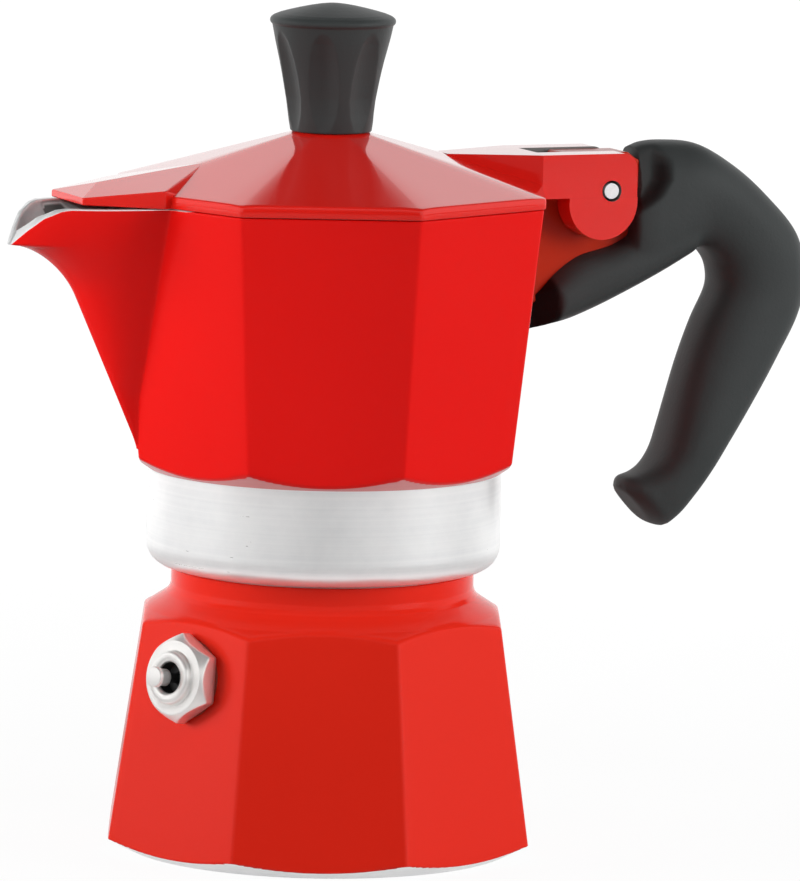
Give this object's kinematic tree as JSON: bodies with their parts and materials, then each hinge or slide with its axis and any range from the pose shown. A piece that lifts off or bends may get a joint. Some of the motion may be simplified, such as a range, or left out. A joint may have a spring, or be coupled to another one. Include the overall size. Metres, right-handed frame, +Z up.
{
  "type": "stovetop moka pot",
  "caption": "Small octagonal stovetop moka pot with boiler, safety valve, funnel, filter, screwed collector, hinged lid, knob and handle.",
  "frame": {"origin": "On the pot's vertical axis, in the plane of the flat ring it stands on.", "axes": "+Z up along the pot's axis, +X towards the handle, -X towards the spout, +Y completes a right-handed frame."},
  "size_m": [0.1323, 0.0706, 0.1297],
  "materials": {
    "paint": "glossy",
    "bare": "satin",
    "plated": "glossy",
    "steel": "satin",
    "brass": "satin",
    "rubber": "matte",
    "seal_rubber": "matte",
    "fibre": "matte",
    "phenolic": "satin"
  },
  "bodies": {
    "base": {"boiler": "paint", "valve_body": "plated", "valve_washer": "fibre", "valve_retainer": "steel"},
    "valve": {"valve_pin": "plated", "valve_seal": "rubber", "valve_spring": "steel"},
    "funnel": {"funnel_cup": "bare", "funnel_stem": "bare", "funnel_disc": "bare"},
    "seal": {"gasket": "seal_rubber"},
    "filter": {"filter_plate": "bare"},
    "upper": {"collector": "paint", "hinge_pin": "steel", "handle": "phenolic"},
    "lid": {"lid": "paint", "knob": "phenolic", "knob_insert": "brass", "knob_washer": "steel", "knob_screw": "steel"}
  },
  "joints": [
    {"name": "upper_lift", "type": "slide", "parent": "base", "child": "seal", "axis": [0, 0, 1], "range_m": [0, 0.095]},
    {"name": "upper_rise", "type": "slide", "parent": "seal", "child": "filter", "axis": [0, 0, 1], "range_m": [0, 0.0075]},
    {"name": "upper_turn", "type": "hinge", "parent": "filter", "child": "upper", "pos_m": [0, 0, 0.06], "axis": [0, 0, 1], "range_deg": [0, 1080]},
    {"name": "funnel_lift", "type": "slide", "parent": "base", "child": "funnel", "axis": [0, 0, 1], "range_m": [0, 0.0475]},
    {"name": "lid_hinge", "type": "hinge", "parent": "upper", "child": "lid", "pos_m": [0.0438, 0, 0.1007], "axis": [0, 1, 0], "range_deg": [0, 95]},
    {"name": "valve_lift", "type": "slide", "parent": "base", "child": "valve", "axis": [-0.9146, -0.3788, 0.1414], "range_m": [0, 0.0015], "stiffness_N_per_m": 400, "springref_m": -0.004, "deforming": ["valve_spring"]}
  ],
  "couplings": [
    {"joint": "upper_rise", "follows": "upper_turn", "m_per_rad": 0.00039789},
    {"joint": "funnel_lift", "follows": "upper_lift", "ratio": 0.5}
  ]
}
